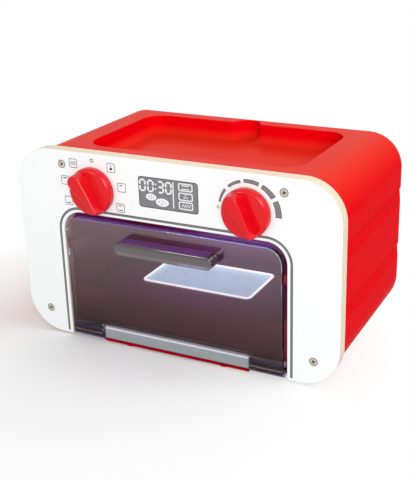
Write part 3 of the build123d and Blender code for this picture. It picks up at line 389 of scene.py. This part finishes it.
def tinted_clear():
    """Glossy smoky plastic with faint smears. The panel is clear, with a painted darker tint and a
    painted weaker reflection toward its foot; the grip is almost opaque, coloured with painted
    reflection and shade; painted violet lamp light glows a little in the top and foot edges."""
    finish = Finish("tinted_clear", DOOR_TINT, 0.02, IOR=PLAIN_IOR, Transmission_Weight=1.0)
    start, full = GRIP_ROOT
    is_panel = finish.spread(finish.axis("Y"), DOOR_FACE_Y - start, DOOR_FACE_Y - full)
    height = finish.spread(finish.axis("Z"), door_low.z, door_high.z)
    panel = finish.mix(height, DOOR_TINT_FOOT_PAINTED_DARK, DOOR_TINT)
    finish.color(finish.mix(is_panel, grip_painted_light(finish), panel))
    finish.drive("Specular Tint", finish.mix(height, MIRROR_FOOT_PAINTED_DARK, MIRROR))
    finish.drive("IOR", finish.spread(is_panel, 0, 1, GRIP_IOR, PANEL_IOR))
    finish.drive("Transmission Weight", finish.spread(is_panel, 0, 1, GRIP_CLEAR, 1))
    # painted violet glow in the door's top and foot edges
    finish.shader.inputs["Emission Color"].default_value = PAINTED_GLOW_VIOLET
    start, full = TOP_EDGE
    top_glow = finish.spread(finish.axis("Z"), door_high.z - start, door_high.z - full,
                             0, TOP_EDGE_PAINTED_GLOW)
    full, end = FOOT_EDGE
    foot_glow = finish.spread(finish.axis("Z"), door_low.z + full, door_low.z + end,
                              FOOT_EDGE_PAINTED_GLOW, 0)
    finish.drive("Emission Strength", finish.math("ADD", top_glow, foot_glow))
    finish.roughness(finish.noise(18 * MM, 4), 0.0, 0.03)
    return finish.material


# Lit plate and lamps
PLATE_GLOW = 1.05
RIM_GLOW = 1.7 * PLATE_GLOW
DISH = ((0.46, 0.74, 0.86), (0.54, 0.85, 0.95))
RIM = (0.90, 1.0, 0.95)
RIM_RISE = (2.6 * MM, 0.3 * MM)      # below the plate's top
MILKY_GRAIN = 0.9 * MM


def lit_plate():
    """Milky plate lit from below, brightest along its raised rim."""
    finish = Finish("diffuser", (0.34, 0.36, 0.40), 0.3)
    start, full = RIM_RISE
    rise = finish.spread(finish.axis("Z"), plate_high.z - start, plate_high.z - full)
    dish = finish.mix(finish.noise(20 * MM, 2), *DISH)
    finish.drive("Emission Color", finish.mix(rise, dish, RIM))
    finish.drive("Emission Strength", finish.spread(rise, 0, 1, PLATE_GLOW, RIM_GLOW))
    finish.roughness(finish.noise(6 * MM, 2), 0.25, 0.38)
    finish.bump(finish.noise(MILKY_GRAIN, 2), 0.02 * MM, 0.4)
    return finish.material


def glowing(name, color, glow, strength, roughness):
    """Milky or clear plastic that is lit from inside."""
    finish = Finish(name, color, roughness, Emission_Strength=strength)
    finish.shader.inputs["Emission Color"].default_value = (*glow, 1)
    finish.roughness(finish.noise(6 * MM, 2), roughness - 0.05, roughness + 0.08)
    finish.bump(finish.noise(MILKY_GRAIN, 2), 0.02 * MM, 0.4)
    return finish.material


# Metals
def metal(name, color, roughness):
    """Plain or plated metal with fine mottling."""
    finish = Finish(name, color, roughness, Metallic=1.0)
    mottling = finish.noise(1.5 * MM, 4, 0.65)
    finish.color(finish.mix(mottling, deeper(color, 0.82), color))
    finish.roughness(mottling, roughness - 0.07, roughness + 0.1)
    finish.bump(mottling, 0.01 * MM, 0.5)
    return finish.material


PLATING = ((0.36, 0.29, 0.20), (0.98, 0.93, 0.80))
# painted shade in the screws' cross, middle and rim
SCREW_PAINTED_SHADE = (0.10, 0.07, 0.045)
CROSS_DEEP = 0.25 * MM   # painted shade fills the cross from this far behind the heads' faces
HEAD_MIDDLE = (1.3 * MM, 0.8 * MM)   # from a head's middle: painted shade starts and is full
HEAD_RIM = (3.1 * MM, 3.8 * MM)


def screw_metal():
    """Pale plated screw head, with painted shade down in its cross, at its middle and round its rim."""
    finish = Finish("brass", (0.88, 0.80, 0.62), 0.3, Metallic=1.0)
    scratches = finish.noise(0.6 * MM, 4, 0.65)
    plated = finish.mix(finish.noise(1.5 * MM, 3, 0.6), *PLATING)
    upper = finish.math("GREATER_THAN", finish.axis("Z"), screw_mid)
    middle = finish.spread(upper, 0, 1, low_screw_x, top_screw_x)
    across = finish.math("SUBTRACT", finish.math("ABSOLUTE", finish.axis("X")), middle)
    from_mid = finish.math("SUBTRACT", finish.axis("Z"), screw_mid)
    up = finish.math("SUBTRACT", finish.math("ABSOLUTE", from_mid), screw_up)
    reach = finish.math("SQRT", finish.math("ADD", finish.math("MULTIPLY", across, across),
                                            finish.math("MULTIPLY", up, up)))
    # painted shade round each head's rim and at its middle
    dark = finish.math("MAXIMUM", finish.spread(reach, *HEAD_RIM),
                       finish.spread(reach, *HEAD_MIDDLE))
    deep = finish.math("GREATER_THAN", finish.axis("Y"), screws_low.y + CROSS_DEEP)
    finish.color(finish.mix(finish.math("MAXIMUM", deep, dark), plated, SCREW_PAINTED_SHADE))
    finish.roughness(scratches, 0.18, 0.34)
    finish.bump(scratches, 0.01 * MM, 0.5)
    return finish.material


# Inner pieces
TRACES_PER_METRE = 260
TRACE_HALF = 0.08        # of one cell between traces
MASK, MASK_OVER_TRACE = (0.015, 0.13, 0.05), (0.05, 0.26, 0.10)
WOOL = ((0.66, 0.64, 0.60), (0.88, 0.86, 0.82))


def circuit_board():
    """Green solder mask with lighter traces."""
    finish = Finish("circuit_board", (0.02, 0.16, 0.06), 0.35)
    cells = finish.node("ShaderNodeTexVoronoi", feature="DISTANCE_TO_EDGE", distance="MANHATTAN",
                        Scale=TRACES_PER_METRE)
    finish.link(finish.place(), cells.inputs["Vector"])
    trace = finish.math("LESS_THAN", cells.outputs["Distance"], TRACE_HALF)
    finish.color(finish.mix(trace, MASK, MASK_OVER_TRACE))
    finish.bump(trace, 0.03 * MM, 0.6)
    return finish.material


def printed(name, color):
    """Printed ink, laid down slightly unevenly."""
    finish = Finish(name, color, 0.5, Specular_IOR_Level=0.3)
    finish.color(finish.mix(finish.noise(0.7 * MM, 3, 0.7), deeper(color, 0.88), color))
    return finish.material


def felt():
    """Pale wool felt of the rings under the knobs."""
    finish = Finish("felt", (0.78, 0.76, 0.72), 0.95, Sheen_Weight=0.4)
    fibres = finish.noise(0.6 * MM, 5, 0.8)
    finish.color(finish.mix(fibres, *WOOL))
    finish.bump(fibres, 0.2 * MM, 0.8)
    return finish.material


MATERIALS = {
    "painted_ply": painted_ply(),
    "red_plastic": housing_red(),
    "liner_red": cavity_red(),
    "red_knob": moulded("red_knob", (0.70, 0.0, 0.006), 0.15, 0.4 * MM, 0.003 * MM,
                        Specular_IOR_Level=0.34),
    "tinted_clear": tinted_clear(),
    "grey_plastic": bar_grey(),
    "diffuser": lit_plate(),
    "lamp_violet": glowing("lamp_violet", (0.60, 0.50, 0.85), (0.50, 0.36, 1.0), 22.0, 0.2),
    "led_clear": glowing("led_clear", (0.9, 0.9, 0.95), (0.8, 0.85, 1.0), 1.0, 0.15),
    "steel": metal("steel", (0.62, 0.62, 0.63), 0.3),
    "brass": screw_metal(),
    "circuit_board": circuit_board(),
    "black_plastic": moulded("black_plastic", (0.025, 0.025, 0.027), 0.45),
    "nylon": moulded("nylon", (0.78, 0.77, 0.70), 0.5),
    "rubber": moulded("rubber", (0.50, 0.0, 0.01), 0.7, 0.4 * MM, 0.03 * MM),
    "black_rubber": moulded("black_rubber", (0.03, 0.03, 0.03), 0.8, 0.4 * MM, 0.04 * MM),
    "felt": felt(),
    "paper_cone": moulded("paper_cone", (0.05, 0.05, 0.05), 0.9, 0.8 * MM, 0.1 * MM),
    "cell_wrap": moulded("cell_wrap", (0.06, 0.20, 0.12), 0.3),
    "cable_grey": moulded("cable_grey", (0.16, 0.16, 0.18), 0.5),
}
INK_GREY = printed("ink_grey", (0.21, 0.21, 0.22))
INK_DARK = printed("ink_dark", (0.035, 0.035, 0.035))
INK_WHITE = printed("ink_white", (0.88, 0.88, 0.88))


def dress(obj, material):
    """One material all over an object."""
    obj.data.materials.clear()
    obj.data.materials.append(material)


def dress_cad_nodes():
    slots = {part["node"]: part["material_slot"] for part in frame["record"]["subparts"]}
    for name, obj in nodes.items():
        dress(obj, MATERIALS[slots[name]])
    dress(nodes["cavity_liner"], MATERIALS["liner_red"])     # lit from inside by its lamp


# ---------------------------------------------------------------- flat printed shapes
INK_PROUD = 0.06 * MM    # ink in front of the board's face
INK_SUNK = 0.04 * MM     # and into it
INK_OVER = 2 * INK_PROUD     # ink printed over other ink


def rounded(cx, cz, width, height, radius, steps=8):
    """Outline of a rounded rectangle about its centre."""
    points = []
    for corner in range(4):
        start = corner * pi / 2
        mid_x = cx + (width / 2 - radius) * (1 if corner in (0, 3) else -1)
        mid_z = cz + (height / 2 - radius) * (1 if corner in (0, 1) else -1)
        for step in range(steps + 1):
            angle = start + step / steps * pi / 2
            points.append((mid_x + radius * cos(angle), mid_z + radius * sin(angle)))
    return points


def ellipse(cx, cz, half_w, half_h, steps=40):
    """Outline of an ellipse about its centre."""
    return [(cx + half_w * cos(2 * pi * step / steps), cz + half_h * sin(2 * pi * step / steps))
            for step in range(steps)]


def bar(x0, z0, x1, z1, width):
    """Straight stroke with round ends."""
    length_x, length_z = x1 - x0, z1 - z0
    length = (length_x ** 2 + length_z ** 2) ** 0.5
    along = (length_x / length, length_z / length)
    points = []
    for end_x, end_z, turn in ((x1, z1, -pi / 2), (x0, z0, pi / 2)):
        for step in range(7):
            angle = turn + step / 6 * pi
            across, ahead = sin(angle), cos(angle)
            points.append((end_x + width / 2 * (ahead * along[0] - across * along[1]),
                           end_z + width / 2 * (ahead * along[1] + across * along[0])))
    return points


def ring_arc(cx, cz, inner, outer, start, end, steps=24):
    """Piece of a ring; angles in degrees, clockwise from the top. outer is its outer radius at
    the start and at the end."""
    first, last = outer
    points = []
    for step in range(steps + 1):
        share = step / steps
        angle = radians(start + share * (end - start))
        radius = first + share * (last - first)
        points.append((cx + radius * sin(angle), cz + radius * cos(angle)))
    for step in range(steps + 1):
        angle = radians(end + step / steps * (start - end))
        points.append((cx + inner * sin(angle), cz + inner * cos(angle)))
    return points


def ink(name, loops, material, proud=INK_PROUD):
    """Thin printed shape on the board. The loops are outlines in millimetres, and a loop inside
    another is a hole."""
    curve = bpy.data.curves.new(name, "CURVE")
    curve.dimensions = "2D"
    curve.fill_mode = "BOTH"
    curve.extrude = (proud + INK_SUNK) / 2
    for loop in loops:
        spline = curve.splines.new("POLY")
        spline.points.add(len(loop) - 1)
        for point, (x, z) in zip(spline.points, loop):
            point.co = (x * MM, z * MM, 0, 1)
        spline.use_cyclic_u = True
    holder = bpy.data.objects.new(name, curve)
    scene.collection.objects.link(holder)
    bpy.context.view_layer.update()
    filled = holder.evaluated_get(bpy.context.evaluated_depsgraph_get())
    mesh = bpy.data.meshes.new_from_object(filled)
    bpy.data.objects.remove(holder)
    mesh.transform(Matrix.Rotation(pi / 2, 4, "X"))
    mesh.transform(Matrix.Translation((0, FACE_Y - proud + (proud + INK_SUNK) / 2, 0)))
    merged = bmesh.new()
    merged.from_mesh(mesh)
    bmesh.ops.remove_doubles(merged, verts=merged.verts, dist=1e-7)
    bmesh.ops.recalc_face_normals(merged, faces=merged.faces)
    merged.to_mesh(mesh)
    merged.free()
    piece = bpy.data.objects.new(name, mesh)
    scene.collection.objects.link(piece)
    dress(piece, material)
    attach(piece, "body")


# Window line, in millimetres as all the printed shapes
WINDOW_LINE_HALF = 121.9     # from the board's middle to the line's, on each side
WINDOW_LINE_TOP = 138.5
WINDOW_LINE_W = 2.35
WINDOW_LINE_EDGE = 0.55      # darker border on each side of it
WINDOW_LINE_R = 23.5         # its upper corners
WINDOW_LINE_END = 4.6        # its two ends above the table


def window_arch(offset):
    """Path up, over and down the window, this far outside the line's middle."""
    half = WINDOW_LINE_HALF + offset
    top = WINDOW_LINE_TOP + offset
    radius = WINDOW_LINE_R + offset
    side = [(-half, WINDOW_LINE_END)]
    for step in range(17):
        angle = step / 16 * pi / 2
        side.append((-half + radius * (1 - cos(angle)), top - radius * (1 - sin(angle))))
    return side + [(-x, z) for x, z in reversed(side)]


def print_window_line():
    """Grey line with darker borders round the door's window, open at the bottom."""
    outer = WINDOW_LINE_W / 2
    inner = outer - WINDOW_LINE_EDGE
    for name, start, end, material in (("outer", outer, inner, INK_DARK),
                                       ("mid", inner, -inner, INK_GREY),
                                       ("inner", -inner, -outer, INK_DARK)):
        ink(f"window_line_{name}", [window_arch(start) + window_arch(end)[::-1]], material)


# Display
PANEL = (0.9, 165.1, 61.8, 29.8, 3.0)    # centre x, centre z, width, height, corner
PANEL_RIM = 0.7
DIGIT_W, DIGIT_H, STROKE = 7.0, 12.0, 1.7
STROKE_BACK = 1.3        # strokes stop this far before a figure's corners
DIGITS_X = (-25.6, -17.2, -6.6, 1.6)
DIGITS_Z = 171.6
SHOWN = (0, 0, 3, 0)
SEGMENTS = {0: "abcdef", 3: "abcdg"}
COLON_X, COLON_UP, COLON_R = -11.8, 2.2, 0.85
DIVIDER_X, DIVIDER_LOW, DIVIDER_HIGH, DIVIDER_W = 6.4, 153.6, 177.4, 1.2
BISCUITS = ((-17.0, 161.0, 5.6, 3.3), (-5.4, 157.0, 6.9, 3.9))   # centre x and z, half sizes
CHIPS = ((-0.45, 0.1), (0.05, 0.35), (0.45, -0.05), (-0.05, -0.4))   # in half sizes
CHIP_HALF = (0.75, 0.55)
SIGN_X, SIGNS_Z = 19.1, (174.3, 165.4, 156.9)
SIGN_W, SIGN_H, SIGN_RIM = 14.6, 7.6, 1.1
FAN_R, FAN_BLADE_R = 1.5, 0.8


def digit_loops(cx, cz, number):
    """Seven-segment figure as separate rounded strokes."""
    w, h = DIGIT_W / 2 - STROKE / 2, DIGIT_H / 2 - STROKE / 2
    end_w, end_h, end_mid = w - STROKE_BACK, h - STROKE_BACK, STROKE_BACK
    ends = {"a": (-end_w, h, end_w, h), "b": (w, end_h, w, end_mid), "c": (w, -end_mid, w, -end_h),
            "d": (-end_w, -h, end_w, -h), "e": (-w, -end_mid, -w, -end_h),
            "f": (-w, end_h, -w, end_mid), "g": (-end_w, 0, end_w, 0)}
    loops = []
    for segment in SEGMENTS[number]:
        x0, z0, x1, z1 = ends[segment]
        loops.append(bar(cx + x0, cz + z0, cx + x1, cz + z1, STROKE))
    return loops


def print_display():
    """Grey panel with a dark rim, and a clock, two biscuits and three signs in white on it."""
    cx, cz, width, height, radius = PANEL
    rim = PANEL_RIM
    inside = rounded(cx, cz, width - 2 * rim, height - 2 * rim, radius - rim)
    ink("display_edge", [rounded(cx, cz, width, height, radius), inside], INK_DARK)
    ink("display_panel", [inside], INK_GREY)
    digits = []
    for x, number in zip(DIGITS_X, SHOWN):
        digits += digit_loops(x, DIGITS_Z, number)
    for z in (DIGITS_Z - COLON_UP, DIGITS_Z + COLON_UP):
        digits.append(ellipse(COLON_X, z, COLON_R, COLON_R, 16))
    ink("display_digits", digits, INK_WHITE, INK_OVER)
    ink("display_divider", [bar(DIVIDER_X, DIVIDER_LOW, DIVIDER_X, DIVIDER_HIGH, DIVIDER_W)],
        INK_WHITE, INK_OVER)
    print_biscuits()
    print_display_signs()


def print_biscuits():
    """Two plain oval biscuits with a few chips."""
    for number, (cx, cz, w, h) in enumerate(BISCUITS):
        loops = [ellipse(cx, cz, w, h)]
        loops += [ellipse(cx + u * w, cz + v * h, *CHIP_HALF, 12) for u, v in CHIPS]
        ink(f"display_biscuit_{number + 1}", loops, INK_WHITE, INK_OVER)


def display_sign(number, cx, cz):
    """What one box on the display shows, from the top: two bars, a fan, a row of slanted strokes."""
    if number == 0:
        return [bar(cx - 3.6, cz + up, cx + 3.6, cz + up, 0.9) for up in (1.6, -1.6)]
    if number == 1:
        return [ellipse(cx + FAN_R * sin(turn), cz + FAN_R * cos(turn), FAN_BLADE_R, FAN_BLADE_R, 14)
                for turn in (0, 2 * pi / 3, 4 * pi / 3)]
    return [bar(cx + x, cz - 1.1, cx + x + 1.6, cz + 1.2, 0.8) for x in (-4.0, -1.6, 0.8, 3.2)]


def print_display_signs():
    """Three boxed cooking signs: top and bottom heat, fan, grill."""
    for number, cz in enumerate(SIGNS_Z):
        box = [rounded(SIGN_X, cz, SIGN_W, SIGN_H, 1.6, 6),
               rounded(SIGN_X, cz, SIGN_W - 2 * SIGN_RIM, SIGN_H - 2 * SIGN_RIM, 0.8, 6)]
        ink(f"display_sign_{number + 1}", box + display_sign(number, SIGN_X, cz),
            INK_WHITE, INK_OVER)


# Dial marks. Angles are in degrees, clockwise from a dial's top
OFF_R = 29.1
MARK_R = 32.2
MARK_SIZE, MARK_RIM = 8.9, 0.55
MARKS = ((-115.5, ("low bar",)), (-78.5, ("high bar",)), (-41.0, ("uprights",)),
         (41.0, ("bulb",)), (78.5, ("short bar",)), (115.5, ("low bar", "high bar")))
GAUGE_INNER, GAUGE_RIM = 26.7, 0.45
GAUGE = ((-77, -49, 28.4, 29.4), (-40.4, -13, 29.3, 29.5), (-6.5, 22.3, 30.0, 30.6),
         (29, 57.3, 30.8, 32.2), (64, 93, 32.3, 32.6))   # from, to, and the outer radius at each
START_MARK_ANGLE, START_MARK_R = -88, 28.7


def mark_loops(kind, x, z):
    """One part of a sign round the left dial, about the middle of its box."""
    if kind == "low bar":
        return [bar(x - 2, z - 2.2, x + 2, z - 2.2, 0.9)]
    if kind == "high bar":
        return [bar(x - 2, z + 2.2, x + 2, z + 2.2, 0.9)]
    if kind == "short bar":
        return [bar(x - 1.8, z + 2.0, x + 0.6, z + 2.0, 0.9)]
    if kind == "uprights":
        return [bar(x + side, z - 1.8, x + side, z + 1.8, 0.7) for side in (-2, 0, 2)]
    return [ellipse(x, z - 0.9, 1.6, 1.3, 16), bar(x, z + 1.2, x, z + 2.2, 0.8)]     # bulb


def print_mode_marks():
    """Six boxed cooking signs round the left dial and a small ring for off at the top."""
    cx, cz = MODE_AT.x / MM, MODE_AT.z / MM
    ink("mode_off_mark", [ellipse(cx, cz + OFF_R, 1.9, 1.9, 24),
                          ellipse(cx, cz + OFF_R, 1.2, 1.2, 24)], INK_DARK)
    inside = MARK_SIZE - 2 * MARK_RIM
    for number, (angle, kinds) in enumerate(MARKS):
        x = cx + MARK_R * sin(radians(angle))
        z = cz + MARK_R * cos(radians(angle))
        loops = [rounded(x, z, MARK_SIZE, MARK_SIZE, 1.2, 5), rounded(x, z, inside, inside, 0.7, 5)]
        for kind in kinds:
            loops += mark_loops(kind, x, z)
        ink(f"mode_mark_{number + 1}", loops, INK_DARK)


def print_gauge():
    """Five ring segments that grow clockwise round the right dial, and a small ring at its start."""
    cx, cz = TIMER_AT.x / MM, TIMER_AT.z / MM
    rim = GAUGE_RIM
    trim = rim / GAUGE_INNER * 180 / pi
    for number, (start, end, first, last) in enumerate(GAUGE):
        outline = ring_arc(cx, cz, GAUGE_INNER, (first, last), start, end)
        inside = ring_arc(cx, cz, GAUGE_INNER + rim, (first - rim, last - rim),
                          start + trim, end - trim)
        ink(f"gauge_edge_{number + 1}", [outline, inside], INK_DARK)
        ink(f"gauge_{number + 1}", [inside], INK_GREY)
    x = cx + START_MARK_R * sin(radians(START_MARK_ANGLE))
    z = cz + START_MARK_R * cos(radians(START_MARK_ANGLE))
    ink("gauge_start_mark", [ellipse(x, z, 1.3, 1.3, 20), ellipse(x, z, 0.8, 0.8, 20)], INK_DARK)


# ---------------------------------------------------------------- stage and light
WHITE = (1, 1, 1, 1)
FLOOR_HALF = 6.0
FLOOR_SEEN = 0.93        # its brightness where it is seen, and in what it throws back
FLOOR_BOUNCE = 0.62
FLOOR_LIFT = 0.03        # glow added where it is seen
SHADOW_SPOT = (-0.09, -0.09, 0)
SHADOW_REACH = (0.10, 0.30)  # from that spot: all of the shadow is kept, and none of it
WORLD_LIGHT = 0.45


def seen_ray(tree):
    """1 where a ray from the camera, or off gloss or through glass, meets the surface."""
    path = tree.nodes.new("ShaderNodeLightPath")
    total = path.outputs["Is Camera Ray"]
    for kind in ("Is Glossy Ray", "Is Transmission Ray"):
        either = tree.nodes.new("ShaderNodeMath")
        either.operation = "MAXIMUM"
        tree.links.new(total, either.inputs[0])
        tree.links.new(path.outputs[kind], either.inputs[1])
        total = either.outputs[0]
    return total


def grey(value):
    return (value, value, value, 1)


def add_floor():
    """Large floor that shows the oven's shadow near one spot and fades to plain white round it."""
    mesh = bpy.data.meshes.new("floor")
    corners = [(x * FLOOR_HALF, y * FLOOR_HALF, 0) for x, y in ((-1, -1), (1, -1), (1, 1), (-1, 1))]
    mesh.from_pydata(corners, [], [(0, 1, 2, 3)])
    floor = bpy.data.objects.new("floor", mesh)
    scene.collection.objects.link(floor)
    finish = Finish("floor", (FLOOR_SEEN,) * 3)
    finish.tree.nodes.remove(finish.shader)
    bounce = finish.node("ShaderNodeBsdfDiffuse", Color=grey(FLOOR_BOUNCE))
    seen = finish.node("ShaderNodeBsdfDiffuse", Color=grey(FLOOR_SEEN))
    lift = finish.node("ShaderNodeEmission", Color=WHITE, Strength=FLOOR_LIFT)
    white = finish.node("ShaderNodeEmission", Color=WHITE, Strength=1.0)
    shadowed = finish.node("ShaderNodeAddShader")
    finish.link(seen.outputs[0], shadowed.inputs[0])
    finish.link(lift.outputs[0], shadowed.inputs[1])
    fade = finish.node("ShaderNodeMixShader")
    finish.link(finish.spread(finish.away_from(SHADOW_SPOT), *SHADOW_REACH), fade.inputs[0])
    finish.link(shadowed.outputs[0], fade.inputs[1])
    finish.link(white.outputs[0], fade.inputs[2])
    choose = finish.node("ShaderNodeMixShader")
    finish.link(seen_ray(finish.tree), choose.inputs[0])
    finish.link(bounce.outputs[0], choose.inputs[1])
    finish.link(fade.outputs[0], choose.inputs[2])
    finish.link(choose.outputs[0], finish.tree.nodes["Material Output"].inputs[0])
    dress(floor, finish.material)


def add_world():
    """Soft light from all round, seen as plain white."""
    world = bpy.data.worlds.new("world")
    scene.world = world
    world.use_nodes = True
    tree = world.node_tree
    light = tree.nodes["Background"]
    light.inputs["Color"].default_value = WHITE
    light.inputs["Strength"].default_value = WORLD_LIGHT
    white = tree.nodes.new("ShaderNodeBackground")
    white.inputs["Color"].default_value = WHITE
    white.inputs["Strength"].default_value = 1.0
    choose = tree.nodes.new("ShaderNodeMixShader")
    tree.links.new(seen_ray(tree), choose.inputs[0])
    tree.links.new(light.outputs[0], choose.inputs[1])
    tree.links.new(white.outputs[0], choose.inputs[2])
    tree.links.new(choose.outputs[0], tree.nodes["World Output"].inputs[0])


def add_softbox(name, at, aim, size, power, color=(1, 1, 1)):
    """Rectangular light of that size in metres and power in watts, aimed at a place."""
    data = bpy.data.lights.new(name, "AREA")
    data.color = color
    data.shape = "RECTANGLE"
    data.size, data.size_y = size
    data.energy = power
    lamp = bpy.data.objects.new(name, data)
    scene.collection.objects.link(lamp)
    lamp.location = at
    lamp.rotation_euler = (Vector(aim) - Vector(at)).to_track_quat("-Z", "Y").to_euler()


# ---------------------------------------------------------------- making
add_camera()
dress_cad_nodes()
print_window_line()
print_display()
print_mode_marks()
print_gauge()
add_floor()
add_world()
add_softbox("key", at=(1.0, -1.9, 1.0), aim=(0, 0, 0.1), size=(1.1, 1.1), power=31)
add_softbox("left", at=(-0.753, -1.566, 0.497), aim=(0.02, -0.10, 0.11), size=(0.12, 0.30),
            power=2.6)
add_softbox("side", at=(1.45, 0.1, 1.35), aim=(0, 0, 0.1), size=(0.8, 0.8), power=11.6)
add_softbox("back", at=(-0.1, 1.5, 1.1), aim=(0, 0, 0.15), size=(2.4, 0.8), power=10.5,
            color=(1.0, 0.86, 0.72))

scene.view_settings.view_transform = "Standard"
